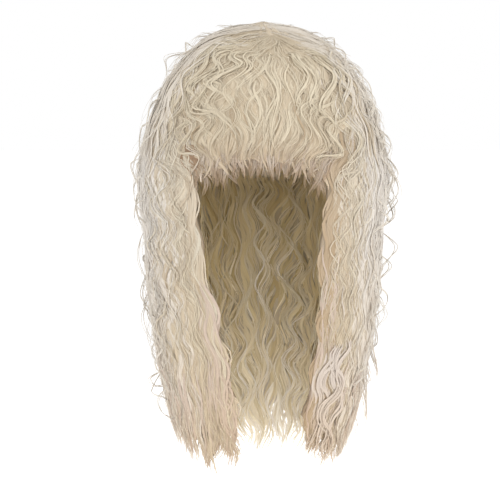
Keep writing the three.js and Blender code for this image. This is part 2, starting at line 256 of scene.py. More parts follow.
# Changes of the tones of strands from root to tip
EVEN = [(0.0, WHITE), (1.0, WHITE)]
DARKER_ROOTS = [(0.0, (0.9, 0.89, 0.87)), (0.3, WHITE), (1.0, WHITE)]
DARKER_TIPS = [(0.0, WHITE), (0.7, WHITE), (1.0, (0.92, 0.87, 0.84))]
DARK_TIPS = [(0.0, WHITE), (0.5, WHITE), (0.8, (0.82, 0.74, 0.64)), (1.0, (0.62, 0.52, 0.41))]
# Painted light: the back's tips made paler, as if lit, where they lie in shade
PAINTED_LIGHT_TIPS = [(0.0, WHITE), (0.75, WHITE), (1.0, (1.25, 1.22, 1.15))]
PEACH_TIPS = [
    (0.0, (1.03, 1.07, 1.15)),
    (0.35, (1.04, 1.06, 1.11)),
    (0.6, (1.03, 1.02, 1.01)),
    (0.85, (1.08, 1.04, 0.99)),
    (1.0, (1.12, 1.07, 1.01)),
]
# Painted shade on the inside strands high in the wig, where their roots lie in shadow, and painted light
# towards their lit tips
PAINTED_SHADE_AND_LIGHT_DOWN = [
    (0.0, (0.81, 0.75, 0.645)),
    (0.5, (0.95, 0.93, 0.895)),
    (0.75, (1.24, 1.29, 1.53)),
    (1.0, (1.22, 1.3, 1.62)),
]

# Changes of the mass's tones: down the outer face and up the inner face of a wall, or across it. They hold
# painted shade on inner faces and at a side fall's face edge, and painted light at the back's lower edge
# Painted shade: darker from the fringe's lower edge up its inner face
FRINGE_DOWN_WITH_PAINTED_SHADE = [(0.0, WHITE), (0.35, WHITE), (0.5, (0.85, 0.81, 0.78)), (1.0, (0.6, 0.56, 0.52))]
# Warmer near the tips on the outer face; painted shade on the inner face
SIDE_DOWN_WITH_PAINTED_SHADE = [
    (0.0, WHITE),
    (0.25, WHITE),
    (0.48, (1, 0.93, 0.86)),
    (0.54, (0.8, 0.77, 0.73)),
    (1.0, (0.6, 0.58, 0.54)),
]
# Painted light at the lower edge where the tips show; the inner face darker and more olive, partly its own
# tint and partly painted shade
BACK_DOWN_WITH_PAINTED_LIGHT_AND_SHADE = [
    (0.0, WHITE),
    (0.4, WHITE),
    (0.5, (1.2, 1.2, 1.2)),
    (0.65, (0.95, 0.9, 0.75)),
    (1.0, (0.55, 0.47, 0.31)),
]
CROWN_ACROSS = [(0.26, COOL), (0.42, WHITE), (0.58, WHITE), (0.74, COOL)]
# Painted shade at the edge beside the face, then cooler towards the back
SIDE_ACROSS_WITH_PAINTED_SHADE = [
    (0.0, (0.66, 0.63, 0.61)),
    (0.1, (0.9, 0.87, 0.83)),
    (0.2, WHITE),
    (0.6, COOL),
    (1.0, COOL),
]
BACK_ACROSS = [(0.0, COOL), (1.0, COOL)]


class Layer(NamedTuple):
    """One layer of strands, in millimetres. Strands come in clumps that wave together.

    A layer is written as a row: the fields without defaults in this order, then others by name.
    """

    clumps: int
    each: int  # strands in a clump
    points: int  # along a strand
    width: tuple  # half width of a strand, least and most
    tones: tuple  # least and most
    depth: tuple  # in from the outline or from an inner face
    swing: float  # of a wave to either side
    pitch: float  # length of a wave
    spread: float = 0.0  # half width of a clump
    flat: float = 0.8  # thickness of a strand over its width
    lift: float = 0.25  # of a wave in depth, over its swing
    gather: float = 0.5  # share of the spread that is lost towards the tips
    stray: float = 0.4  # radians by which a clump is out of step with the hair around it
    hang: float = 0.0  # of the tips away from the outline


def smooth_table(places, values):
    """A smooth curve through the rows of a table."""
    places = np.asarray(places, float)
    values = np.asarray(values, float)
    slopes = np.gradient(values, places, axis=0)

    def at(where):
        where = np.asarray(where, float)
        low = np.clip(np.searchsorted(places, where) - 1, 0, len(places) - 2)
        span = places[low + 1] - places[low]
        t = (where - places[low]) / span
        if values.ndim > 1:
            t = t[..., None]
            span = span[..., None]
        start = values[low] * (1 + 2 * t) * (1 - t) ** 2 + slopes[low] * span * t * (1 - t) ** 2
        end = values[low + 1] * t**2 * (3 - 2 * t) + slopes[low + 1] * span * t**2 * (t - 1)
        return start + end

    return at


def smoothstep(low, high, x):
    t = np.clip((x - low) / (high - low), 0, 1)
    return t * t * (3 - 2 * t)


def mix(a, b, t):
    return a + (b - a) * t


def unit(v):
    return v / np.maximum(np.linalg.norm(v, axis=-1, keepdims=True), 1e-9)


outline_at = smooth_table(np.arange(len(OUTLINE)), OUTLINE)
opening_at = smooth_table(-OPENING[:, 0], OPENING[:, 1:])
depth_at = smooth_table(-WALL_DEPTH[:, 0], WALL_DEPTH[:, 1:])
rim_at = smooth_table(CAP_RIM[:, 0], CAP_RIM[:, 1] * MM)
crown_edge_at = smooth_table(CROWN_EDGE[:, 0], CROWN_EDGE[:, 1] * MM)
side_tips_at = smooth_table(SIDE_TIPS[:, 0], SIDE_TIPS[:, 1:] * MM)

FINE_ROWS = np.linspace(0, len(OUTLINE) - 1, 401)
FINE_OUTLINE = outline_at(FINE_ROWS)
FINE_FALL = np.append(0, np.cumsum(np.hypot(*np.diff(FINE_OUTLINE[:, :2], axis=0).T)))
WHORL_ROWS = FINE_ROWS < WHORL_LAST_ROW


def row_at(z):
    return np.interp(-np.asarray(z), -FINE_OUTLINE[:, 0], FINE_ROWS)


def degrees_aside(angle):
    """Degrees from the front, to either side."""
    return np.degrees(np.abs(np.arctan2(np.sin(angle), np.cos(angle))))


def for_side(values, side):
    """The right or the left one of two values."""
    return values[..., 1 if side > 0 else 0]


def outline_point(angle, row):
    z, half, front, back = np.moveaxis(outline_at(row), -1, 0)
    reach = np.where(np.cos(angle) > 0, front, back)
    return np.stack([half * np.sin(angle), -reach * np.cos(angle), z * np.ones_like(angle)], -1)


def outward(angle, row, surface=outline_point):
    """Direction out of the hair, square to the outline or to another surface of it."""
    turn, drop, first_row = 0.02, 0.05, 0.12  # small steps, off the top of the crown
    row = np.maximum(row, first_row)
    across = surface(angle + turn, row) - surface(angle - turn, row)
    down = surface(angle, row + drop) - surface(angle, row - drop)
    return unit(np.cross(down, across))


def hair_point(angle, row, depth):
    angle, row, depth = np.broadcast_arrays(angle, row, depth)
    return outline_point(angle, row) - outward(angle, row) * depth[..., None]


def clear_of_cap(points):
    """Moves points straight out until they clear the capped head."""
    rise = points[..., 2] + HEAD_DOME
    reach = CAP_CLEARANCE + np.where(rise > 0, HEAD_DOME, HEAD_NAPE)
    least_breadth, least_reach = 0.02, 0.2  # shares of the head's, at its top and its middle
    share = np.sqrt(np.maximum(least_breadth**2, 1 - (rise / reach) ** 2))
    half = (HEAD_HALF_BREADTH + CAP_CLEARANCE) * share
    length = (HEAD_HALF_LENGTH + CAP_CLEARANCE) * share
    inside = np.hypot(points[..., 0] / half, points[..., 1] / length)
    grow_by = np.where(inside < 1, 1 / np.maximum(inside, least_reach), 1)
    return points * np.stack([grow_by, grow_by, np.ones_like(grow_by)], -1)


def head_grid(rings, around, offset, rim):
    """Points of the head's form grown by an offset, from its top down to a rim."""
    angle = np.linspace(-math.pi, math.pi, around, endpoint=False)[None, :]
    rise = rim(np.degrees(np.abs(angle))) + HEAD_DOME
    reach = offset + np.where(rise > 0, HEAD_DOME, HEAD_NAPE)
    turn = np.arccos(np.clip(rise / reach, -1, 1)) * np.linspace(POLE_SHARE, 1, rings)[:, None]
    reach = offset + np.where(turn < math.pi / 2, HEAD_DOME, HEAD_NAPE)
    half = (HEAD_HALF_BREADTH + offset) * np.sin(turn)
    length = (HEAD_HALF_LENGTH + offset) * np.sin(turn)
    z = reach * np.cos(turn) - HEAD_DOME
    return np.stack([half * np.sin(angle), -length * np.cos(angle), z], -1)


def inner_back_point(angle, row):
    """A point on the inner face of the back."""
    z = outline_at(row)[..., 0]
    return clear_of_cap(hair_point(angle, row, depth_at(-z)[..., 1]))


def inner_side_point(side):
    """The same for the inner face of a side fall."""
    def point(angle, row):
        z = outline_at(row)[..., 0]
        edge = opening_angle(z, side)
        share = (side * angle - edge) / (SIDE_END - edge)
        return clear_of_cap(hair_point(angle, row, side_depth(share, z)))

    return point


def opening_angle(z, side):
    """Angle of the face opening's edge at a height on a side."""
    half = outline_at(row_at(z))[..., 1]
    width = for_side(opening_at(-np.asarray(z)), side)
    low = smoothstep(*EDGE_WAVE_FALL, -np.asarray(z))
    width = width + EDGE_WAVE * low * np.sin(ROUND * z / EDGE_PITCH + side)
    return np.arcsin(np.clip(width / half, 0, OPENING_LIMIT))


def whorl(angle, row):
    """Moves places near the top of the crown so that the hair springs from the parting."""
    along = smoothstep(*PARTING_DEGREES, degrees_aside(angle))[..., None]
    fade = 1 - smoothstep(0, PARTING_REACH, row)
    shift = mix(PARTING_FRONT, PARTING_BACK, along) * fade[..., None]
    plan = outline_point(angle, row)[..., :2] + shift
    stretch = np.where(plan[..., 1] < 0, *CROWN_STRETCH)
    reach = np.hypot(plan[..., 0], plan[..., 1] / stretch)
    new_row = np.interp(reach, FINE_OUTLINE[WHORL_ROWS, 1], FINE_ROWS[WHORL_ROWS])
    new_angle = np.arctan2(plan[..., 0], -plan[..., 1] / stretch)
    settled = smoothstep(*SETTLED_ROWS, row)
    apart = np.arctan2(np.sin(angle - new_angle), np.cos(angle - new_angle))
    return new_angle + apart * settled, mix(new_row, row, settled)


def ripple(angle, row, strength, around, down, start):
    return strength * np.sin(around * angle + down * row + start)


def wave_turn(angle, row, pitch):
    """Turn of the hair's waves at a place. It changes slowly, so that neighbouring locks wave together."""
    down = np.interp(row, FINE_ROWS, FINE_FALL)
    return ROUND * down / pitch + sum(ripple(angle, row, *wave) for wave in HAIR_WAVES)


def wave_strength(angle, row):
    return 1 + ripple(angle, row, *SWING_CHANGE)


def mass_depth(angle, row):
    """Depth of the soft mass, which rises and sinks in wavy ridges along the hair."""
    sway = np.sin(SWAY_TURN * row + SWAY_SHIFT * np.sin(angle))
    broad = np.sin(RIDGES * angle + RIDGE_SWAY[0] * sway)
    fine = np.sin(FINE_RIDGES * angle + RIDGE_SWAY[1] * sway + FINE_DRIFT * row)
    return MASS_DEPTH + MASS_RELIEF * mix(broad, fine, FINE_SHARE)


def evenly(rng, count):
    """Numbers spread evenly from 0 to 1 in mixed order."""
    return (rng.permutation(count) + rng.random(count)) / count


def per_strand(values, number):
    """Values of clumps for each of their strands, one in a row."""
    return values[number][:, None]


def hair_column(rng, tone, angle):
    """Places of tones in the hair's chart: warm in front, and cool and even at the sides and back."""
    turned = degrees_aside(angle).mean(axis=1)
    cool = smoothstep(*COOL_DEGREES, turned) > rng.random(len(tone))
    even = mix(CREAM_TONE, tone, COOL_SPREAD)
    column = np.where(cool, COOL_START + CHART_PER_TONE * even, CHART_PER_TONE * tone)
    return np.where(tone > MOST_TONE, tone, column)


def strand_widths(rng, layer, share):
    """Half widths along strands, which taper to both ends."""
    thin, thick = layer.width
    width = (thin + (thick - thin) * rng.random((len(share), 1)) ** THINNESS) * MM
    widening = mix(ROOT_WIDTH, 1, smoothstep(0, ROOT_TAPER, share))
    return width * widening * (1 - TIP_TAPER * share**TIP_TAPER_POWER)


def grow(
    rng, layer, course, root=0.15, smooth_tip=0.0, surface=outline_point, facing=1, root_depth=MASS_DEPTH
):
    """The strands of one layer as (points, outward, half widths, tone, flatness).

    course gives the angle and the row along each strand, from the number of its clump.
    The waves grow over the root, a share of the strand, and a share of them is lost at a smooth tip.
    facing is -1 for hair on an inner surface, which faces in.
    """
    number = np.repeat(np.arange(layer.clumps), layer.each)
    count = len(number)
    along = np.linspace(0, 1, layer.points)[None, :]

    def by_clump(low, high, scatter=0.0):
        values = rng.uniform(low, high, layer.clumps)[number]
        return (values * (1 + scatter * rng.normal(0, 1, count)))[:, None]

    angle, row = course(rng, layer.clumps, number, along)
    row = np.minimum(row, LAST_ROW)
    scatter = np.clip(rng.normal(0, CLUMP_SCATTER, (2, count, 1)), -CLUMP_LIMIT, CLUMP_LIMIT)
    across, deep = layer.spread * MM * scatter
    depth = by_clump(*layer.depth) * MM + DEPTH_SCATTER * deep
    depth = mix(root_depth, depth, smoothstep(0, ROOT_RISE, along))
    depth = depth - layer.hang * MM * smoothstep(HANG_START, 1, along)
    out = facing * outward(angle, row, surface)
    path = surface(angle, row) - facing * out * depth[..., None]
    sideways = unit(np.cross(unit(np.gradient(path, axis=1)), out))
    path = path + sideways * (across * (1 - layer.gather * along))[..., None]

    steps = np.linalg.norm(np.diff(path, axis=1), axis=-1)
    arc = np.concatenate([np.zeros((count, 1)), np.cumsum(steps, axis=1)], axis=1)
    share = arc / arc[:, -1:]
    drift = by_clump(0, ROUND)
    turn = wave_turn(angle, row, layer.pitch * MM) + rng.normal(0, OUT_OF_STEP, (count, 1))
    turn = turn + layer.stray * per_strand(rng.normal(0, 1, layer.clumps), number)
    loose = smoothstep(0, root, share) * (1 - smooth_tip * smoothstep(SMOOTH_START, 1, share))
    swing = by_clump(*SWING_RANGE, SWING_SCATTER) * layer.swing * MM * loose * wave_strength(angle, row)
    path = path + sideways * (swing * np.sin(turn))[..., None]
    path = path + out * (layer.lift * swing * np.sin(LIFT_TURN * turn + drift))[..., None]

    width = strand_widths(rng, layer, share)
    least, most = layer.tones
    tone = by_clump(least, most)[:, 0] + rng.normal(0, TONE_SCATTER, count) * (most - least)
    tone = np.clip(tone, least, most)
    if facing > 0:
        tone = hair_column(rng, tone, angle)
    return path, out, width, tone, layer.flat


def new_object(name, data):
    made = bpy.data.objects.new(name, data)
    bpy.context.scene.collection.objects.link(made)
    return made


def mesh_object(name, vertices, faces, chart, material, normals=None):
    """A mesh from arrays: faces in groups by their counts of corners, and the corners' chart places."""
    corners = np.concatenate([group.ravel() for group in faces])
    sizes = np.concatenate([np.full(len(group), group.shape[1]) for group in faces])
    mesh = bpy.data.meshes.new(name)
    mesh.vertices.add(len(vertices))
    mesh.vertices.foreach_set("co", np.asarray(vertices, np.float32).ravel())
    mesh.loops.add(len(corners))
    mesh.loops.foreach_set("vertex_index", corners.astype(np.int32))
    mesh.polygons.add(len(sizes))
    mesh.polygons.foreach_set("loop_start", (np.cumsum(sizes) - sizes).astype(np.int32))
    uv_map = mesh.uv_layers.new(name=CHART)
    uv_map.data.foreach_set("uv", np.asarray(chart, np.float32).ravel())
    mesh.polygons.foreach_set("use_smooth", np.ones(len(mesh.polygons), bool))
    mesh.update()
    mesh.validate()
    if normals is not None:
        mesh.normals_split_custom_set(normals)
    mesh.materials.append(material)
    piece = new_object(name, mesh)
    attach(piece, "root")
    return piece


def strips(number):
    """Corners of the faces between neighbouring rows of points, which close round."""
    here, there = number[..., :-1, :], number[..., 1:, :]
    return np.stack([here, np.roll(here, -1, -1), np.roll(there, -1, -1), there], -1)


def tubes(path, out, width, flat):
    """Rings of points round paths, and the shading directions of the tubes' sides and ends."""
    turns = ROUND * np.arange(TUBE_SIDES) / TUBE_SIDES + math.pi / 2
    tangent = unit(np.gradient(path, axis=1))
    over = unit(out - tangent * np.sum(out * tangent, axis=-1, keepdims=True))
    wide = np.cos(turns)[:, None] * np.cross(over, tangent)[:, :, None, :]
    over = over[:, :, None, :]
    high = np.sin(turns)[:, None] * over
    rings = path[:, :, None, :] + width[:, :, None, None] * (wide + flat * high)
    above = unit(mix(wide + high, over, SOFTNESS))
    below = unit(mix(wide + high, -over, SOFTNESS))
    left = np.where(FACING_OUT, above, below)
    right = np.where(FACING_OUT, np.roll(above, -1, axis=2), np.roll(below, -1, axis=2))
    corners = [left[:, :-1], right[:, :-1], right[:, 1:], left[:, 1:]]
    side_normals = np.stack(corners, -2).reshape(-1, 3)
    end_normals = np.concatenate([above[:, 0, ::-1], above[:, -1]]).reshape(-1, 3)
    return rings.reshape(-1, 3), side_normals, end_normals


def tube_faces(first, count, points):
    """Point numbers of the faces of the tubes' sides and ends, counted from a first number."""
    number = first + np.arange(count * points * TUBE_SIDES).reshape(count, points, TUBE_SIDES)
    return strips(number).reshape(-1, 4), np.concatenate([number[:, 0, ::-1], number[:, -1]])


def tube_chart(tone, points):
    """Places in the chart of the corners of the tubes' sides and ends: tones across, root to tip along."""
    column = (np.floor(np.clip(tone, 0, 0.999) * TONES) / TONES)[:, None, None]
    side_width = 1 / TUBE_SIDES / TONES
    u, v = np.broadcast_arrays(
        column + (np.arange(TUBE_SIDES) + CHART_MARGIN) * side_width,
        (np.arange(points - 1) / (points - 1))[None, :, None],
    )
    u_end, v_end = u + (1 - 2 * CHART_MARGIN) * side_width, v + 1 / (points - 1)
    corners = [(u, v), (u_end, v), (u_end, v_end), (u, v_end)]
    sides = np.stack([np.stack(corner, -1) for corner in corners], -2).reshape(-1, 2)
    end_u = column[:, 0] + np.array((CHART_MARGIN, 1 - CHART_MARGIN, 0.5)) / TONES
    root_v = np.broadcast_to(np.array((0, 0, CHART_END)), end_u.shape)
    root_and_tip_v = np.concatenate([root_v, 1 - CHART_END + root_v])
    ends = np.stack([np.concatenate([end_u, end_u]), root_and_tip_v], -1).reshape(-1, 2)
    return sides, ends


def strand_mesh(name, layers, material):
    """Strands as closed tubes. They are shaded partly as the surface of the hair that they lie in."""
    vertices = []
    faces, charts, normals = ([], []), ([], []), ([], [])  # of the sides and of the ends
    first = 0
    for path, out, width, tone, flat in layers:
        count, points, _ = path.shape
        rings, *directions = tubes(path, out, width, flat)
        vertices.append(rings)
        for kept, made in (
            (faces, tube_faces(first, count, points)),
            (charts, tube_chart(tone, points)),
            (normals, directions),
        ):
            for group, part in zip(kept, made):
                group.append(part)
        first += len(rings)
    faces = [np.concatenate(group) for group in faces]
    chart = np.concatenate(charts[0] + charts[1])
    normals = np.concatenate(normals[0] + normals[1])
    return mesh_object(name, np.concatenate(vertices), faces, chart, material, normals)


def add_strands(rng, groups, fibre, slot, replaced, **growing):
    """Grows layers of strands along their courses, as one piece for each group of them."""
    for name, layers in groups.items():
        strands = [grow(rng, layer, course, **growing) for layer, course in layers]
        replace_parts(strand_mesh(name, strands, fibre), replaced)


def grid_chart(u, v):
    """Chart corners of a grid of faces, from the places of its columns and rows."""
    u0, v0 = np.meshgrid(u[:-1], v[:-1], indexing="ij")
    u1, v1 = np.meshgrid(u[1:], v[1:], indexing="ij")
    corners = [(u0, v0), (u0, v1), (u1, v1), (u1, v0)]
    return np.stack([np.stack(corner, -1) for corner in corners], -2).reshape(-1, 2)


def wall_mesh(name, places, outer, inner, material):
    """A closed wall between two grids of points: columns round the head, by rows down.

    Its chart has the columns at their places, and runs down the outer face and up the inner face.
    """
    loops = np.concatenate([outer, inner[:, ::-1]], axis=1)
    columns, around, _ = loops.shape
    rows = outer.shape[1]
    edge_width = 0.001
    number = np.arange(columns * around).reshape(columns, around)
    quads = [strips(number).reshape(-1, 4)]
    chart = [grid_chart(places, np.linspace(0, 1, around + 1))]
    for edge, order in ((0, 1), (columns - 1, -1)):
        front, back = number[edge, :rows], number[edge, ::-1][:rows]
        strip = np.stack([front[:-1], back[:-1], back[1:], front[1:]], -1)
        quads.append(strip[:, ::order])
        near = np.array((places[edge] - edge_width, places[edge] + edge_width))
        chart.append(grid_chart(near, np.linspace(0, 0.5, rows)))
    faces = [np.concatenate(quads)]
    return mesh_object(name, loops.reshape(-1, 3), faces, np.concatenate(chart), material)


def dome_mesh(name, outer, inner, material):
    """A closed dome from two grids of points: rings from the top down, by angles round the head."""
    rings = np.concatenate([outer, inner[::-1]], axis=0)
    rows, around, _ = rings.shape
    number = np.arange(rows * around).reshape(rows, around)
    quads = strips(number)[..., (0, 3, 2, 1)].swapaxes(0, 1).reshape(-1, 4)
    poles = np.stack([number[0], number[-1, ::-1]])
    turn = np.linspace(0, ROUND, around, endpoint=False)
    radius = 0.4 * CHART_END
    disk = np.stack([0.5 + 0.5 * np.cos(turn), radius + radius * np.sin(turn)], -1)
    last = 1 - CHART_END
    sides = grid_chart(np.linspace(0, 1, around + 1), np.linspace(CHART_END, last, rows))
    chart = np.concatenate([sides, disk, disk + (0, last)])
    return mesh_object(name, rings.reshape(-1, 3), [quads, poles], chart, material)


def feed(tree, made, inputs):
    """Sets inputs of a node to values or to the outputs of other nodes."""
    for key, value in inputs.items():
        if isinstance(value, bpy.types.NodeSocket):
            tree.links.new(value, made.inputs[key])
        else:
            made.inputs[key].default_value = value


def node(tree, kind, inputs=None, **settings):
    made = tree.nodes.new(kind)
    for key, value in settings.items():
        setattr(made, key, value)
    feed(tree, made, inputs or {})
    return made


def ramp(tree, source, stops):
    made = node(tree, "ShaderNodeValToRGB", {"Fac": source})
    elements = made.color_ramp.elements
    while len(elements) < len(stops):
        elements.new(0.5)
    for element, (place, colour) in zip(elements, stops):
        element.position = place
        element.color = (*colour, 1)
    return made.outputs["Color"]


def multiplied(tree, first, *others):
    settings = {"data_type": "RGBA", "blend_type": "MULTIPLY", "clamp_result": True}
    for other in others:
        made = node(tree, "ShaderNodeMix", {"Factor": 1, "A": first, "B": other}, **settings)
        first = made.outputs["Result"]
    return first


def arithmetic(tree, operation, *values):
    return node(tree, "ShaderNodeMath", dict(enumerate(values)), operation=operation).outputs["Value"]


def chart_coordinates(tree):
    """The chart's place as a whole, across and along."""
    chart = node(tree, "ShaderNodeUVMap", uv_map=CHART).outputs["UV"]
    parts = node(tree, "ShaderNodeSeparateXYZ", {"Vector": chart})
    return chart, parts.outputs["X"], parts.outputs["Y"]


def new_material(name, roughness, specular):
    material = bpy.data.materials.new(name)
    material.use_nodes = True
    tree = material.node_tree
    shader = tree.nodes["Principled BSDF"]
    feed(tree, shader, {"Roughness": roughness, "Specular IOR Level": specular})
    return material, tree, shader


def scatter_light(tree, shader, weight):
    """Light spreads from fibre to fibre."""
    scale = 3 * MM
    inputs = {"Subsurface Weight": weight, "Subsurface Radius": WHITE, "Subsurface Scale": scale}
    feed(tree, shader, inputs)


def noise(tree, vector, scale, detail):
    """Soft noise from 0 to 1, with a scale for each direction."""
    stretched = node(tree, "ShaderNodeMapping", {"Vector": vector, "Scale": scale}).outputs["Vector"]
    inputs = {"Vector": stretched, "Scale": 1, "Detail": detail, "Roughness": 0.6}
    return node(tree, "ShaderNodeTexNoise", inputs).outputs["Fac"]


def relief(tree, shader, height, strength, distance):
    bump = node(tree, "ShaderNodeBump", {"Height": height, "Strength": strength, "Distance": distance})
    feed(tree, shader, {"Normal": bump.outputs["Normal"]})


def strand_material(name, tones, lengthwise):
    """Hair fibre: its tone is picked across the chart, and it changes from root to tip."""
    fibres_across, streaks_along = 7, 11
    material, tree, shader = new_material(name, roughness=0.5, specular=0.25)
    chart, across, along = chart_coordinates(tree)
    fibres = noise(tree, chart, scale=(fibres_across * TONES, streaks_along, 1), detail=3)
    fine = ramp(tree, fibres, [(0.3, (0.84, 0.82, 0.79)), (0.65, WHITE)])
    colour = multiplied(tree, ramp(tree, across, tones), ramp(tree, along, lengthwise), fine)
    feed(tree, shader, {"Base Color": colour})
    scatter_light(tree, shader, weight=0.2)
    return material


def mass_material(name, lengthwise, crosswise, waves=9):
    """The soft mass of hair: fine wavy streaks along it, in patches of lighter and darker hair, with
    painted shade and light down and across it.
    """
    turn_across, sway_width = 70, 0.009
    material, tree, shader = new_material(name, roughness=0.65, specular=0.15)
    _, across, along = chart_coordinates(tree)
    phase = arithmetic(tree, "MULTIPLY", along, ROUND * waves)
    turn = arithmetic(tree, "ADD", phase, arithmetic(tree, "MULTIPLY", across, turn_across))
    sway = arithmetic(tree, "MULTIPLY", arithmetic(tree, "SINE", turn), sway_width)
    bent = node(tree, "ShaderNodeCombineXYZ", {"X": arithmetic(tree, "ADD", across, sway), "Y": along})
    fibres = noise(tree, bent.outputs["Vector"], scale=(230, 7, 1), detail=5)
    place = node(tree, "ShaderNodeTexCoord").outputs["Object"]
    spots = noise(tree, place, scale=(28, 28, 17), detail=2)
    patches = ramp(tree, spots, [(0.35, (0.86, 0.83, 0.79)), (0.6, WHITE)])
    # For the falls and the back, these ramps carry painted shade on inner faces and at the face edge, and
    # painted light at the back's lower edge
    lengths = ramp(tree, along, lengthwise)
    widths = ramp(tree, across, crosswise)
    colour = multiplied(tree, ramp(tree, fibres, MASS_TONES_AND_GAP_SHADE), lengths, widths, patches)
    feed(tree, shader, {"Base Color": colour})
    relief(tree, shader, fibres, strength=0.25, distance=1.0 * MM)
    scatter_light(tree, shader, weight=0.7)
    return material


def cap_material():
    """Stretch net: small crossing threads."""
    threads_across, threads_along = 150, 120
    material, tree, shader = new_material("cap_net", roughness=0.85, specular=0.2)
    chart, _, _ = chart_coordinates(tree)
    threads = []
    for direction, count in (("X", threads_across), ("Y", threads_along)):
        inputs = {"Vector": chart, "Scale": count / ROUND, "Distortion": 0.4}
        wave = node(tree, "ShaderNodeTexWave", inputs, bands_direction=direction)
        threads.append(wave.outputs["Fac"])
    weave = arithmetic(tree, "MAXIMUM", *threads)
    colour = ramp(tree, weave, [(0.4, (0.36, 0.28, 0.18)), (0.9, (0.66, 0.55, 0.39))])
    feed(tree, shader, {"Base Color": colour})
    relief(tree, shader, weave, strength=0.7, distance=0.6 * MM)
    return material


def hair_wall(name, share, angle, z, inner_depth, material, closing=0.0, sink=0.0):
    """A wall of soft hair from the outline in to a depth, thin where it closes towards its tips.

    sink moves its inner face further in.
    """
    row = row_at(z)
    outer = hair_point(angle, row, mass_depth(angle, row) + TIP_SINK * closing)
    inner = clear_of_cap(hair_point(angle, row, mix(inner_depth, TIP_DEPTH, closing)))
    inner = inner - outward(angle, row) * np.asarray(sink)[..., None]
    return wall_mesh(name, share[:, 0], outer, inner, material)


def build_cap():
    rings, around = 30, 80
    outer = head_grid(rings, around, CAP_OUTSIDE, rim_at)
    inner = head_grid(rings, around, CAP_INSIDE, rim_at)
    cap = dome_mesh("cap_net", outer, inner, cap_material())
    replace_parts(cap, "wig_cap")


def crown_mass_edge(degrees):
    overlap = 10 * MM  # over the fringe and the falls
    return crown_edge_at(degrees) - overlap


def crown_course(span, first_row, least=0.0):
    """Strands down the crown from a row on, to both sides of the front between a least angle and a span."""
    root_rows, root_power = 2.0, 2.2  # most roots are near the first row
    front_drop, side_drop = 46, 34  # of the lowest tips below the crown's edge, in millimetres
    side_degrees = (40, 60)
    ragged_rows, scatter = 0.08, 0.008

    def course(rng, clumps, number, along):
        place = mix(-1, 1, evenly(rng, clumps))
        start = np.sign(place) * mix(least, span, np.abs(place))
        root_row = first_row + root_rows * rng.random(clumps) ** root_power
        degrees = np.degrees(np.abs(start))
        lowest = mix(front_drop, side_drop, smoothstep(*side_degrees, degrees))
        drop = rng.uniform(0, lowest, clumps) * MM
        tip_row = row_at(crown_edge_at(degrees) - drop)
        lean = rng.normal(0, LEAN, clumps)
        count = (len(number), 1)
        end_row = per_strand(tip_row, number) + rng.normal(0, ragged_rows, count)
        row = mix(per_strand(root_row, number), end_row, along)
        angle = per_strand(start, number) + per_strand(lean, number) * along
        return whorl(angle + rng.normal(0, scatter, count), row)

    return course


def build_crown():
    rng = np.random.default_rng(SEEDS["crown"])
    around, rings = 110, 34
    angle = np.linspace(-math.pi, math.pi, around, endpoint=False)[None, :]
    edge_row = row_at(crown_mass_edge(np.degrees(np.abs(angle))))
    row = edge_row * np.linspace(POLE_SHARE, 1, rings)[:, None]
    angle = angle + 0 * row
    outer = hair_point(angle, row, mass_depth(angle, row))
    inner = head_grid(rings, around, CAP_CLEARANCE, crown_mass_edge)
    material = mass_material("crown_mass", EVEN, CROWN_ACROSS)
    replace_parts(dome_mesh("crown_mass", outer, inner, material), "crown_hair")

    fibre = strand_material("crown_fibre", HAIR_TONES, DARKER_ROOTS)
    wisps = Layer(260, 1, 32, (2.6, 6.5), (0.52, 0.6), (1.0, 1.6), 6.0, 46, flat=0.1, lift=0.05, stray=0.2)
    shade = Layer(24, 2, 30, (0.5, 0.9), (0.32, 0.45), (0.8, 1.5), 6.0, 46, spread=2.0, flat=0.4, lift=0.05)
    curls = Layer(
        76, 5, 42, (0.35, 0.8), (0.62, 0.78), (0.3, 1.2), 8.0, 46, spread=3.0, flat=0.4, lift=0.05,
    )
    bold = Layer(
        22, 8, 36, (0.45, 1.0), (0.78, 0.84), (-0.8, 0.5), 9.0, 56, spread=4.2, flat=0.4, lift=0.1,
        stray=0.6,
    )
    loose = Layer(60, 1, 40, (0.35, 0.6), (0.6, 0.84), (-0.8, 1.0), 8.5, 42, flat=0.5, lift=0.1, stray=3)
    veil = Layer(60, 1, 30, (1.6, 4.0), (0.58, 0.68), (-0.2, 0.3), 5.0, 46, flat=0.08, lift=0.03, stray=0.2)
    everywhere = crown_course(math.pi, first_row=0.02)
    below_the_top = crown_course(math.pi, first_row=0.9)
    at_the_sides = crown_course(math.radians(115), first_row=0.6, least=math.radians(50))
    in_front = crown_course(math.radians(55), first_row=0.9)
    groups = {
        "crown_wisps": ((wisps, everywhere), (shade, below_the_top)),
        "crown_curls": ((curls, everywhere), (bold, in_front), (loose, everywhere), (veil, at_the_sides)),
    }
    add_strands(rng, groups, fibre, "crown_hair", "crown_hair", root=0.3)


def fringe_angle(share, z):
    return mix(-opening_angle(z, -1), opening_angle(z, 1), share)


def fringe_drop(share):
    """How the fringe's lower edge rises and falls along it. It is lowest at the temples."""
    rise, temple_drop, temple_power = 3, 25, 2.6
    temple = np.abs(2 * share - 1) ** temple_power
    waves = ((2.4, 19, 0.5), (2.2, 43, 2.0))  # strength, turn along the fringe, start
    ragged = sum(strength * np.sin(turn * share + start) for strength, turn, start in waves)
    return (rise - temple_drop * temple + ragged) * MM


def fringe_course(root, tip, span=(0.01, 0.99)):
    """Strands between heights in millimetres, down to a ragged edge, over a span from right to left."""
    ragged = 2

    def course(rng, clumps, number, along):
        across = mix(*span, evenly(rng, clumps))
        root_z = per_strand(rng.uniform(*root, clumps), number) * MM
        tip_z = per_strand(rng.uniform(*tip, clumps) * MM + fringe_drop(across), number)
        z = mix(root_z, tip_z + rng.normal(0, ragged, (len(number), 1)) * MM, along)
        lean = per_strand(rng.normal(0, LEAN, clumps), number)
        return fringe_angle(per_strand(across, number), z) + lean * along, row_at(z)

    return course


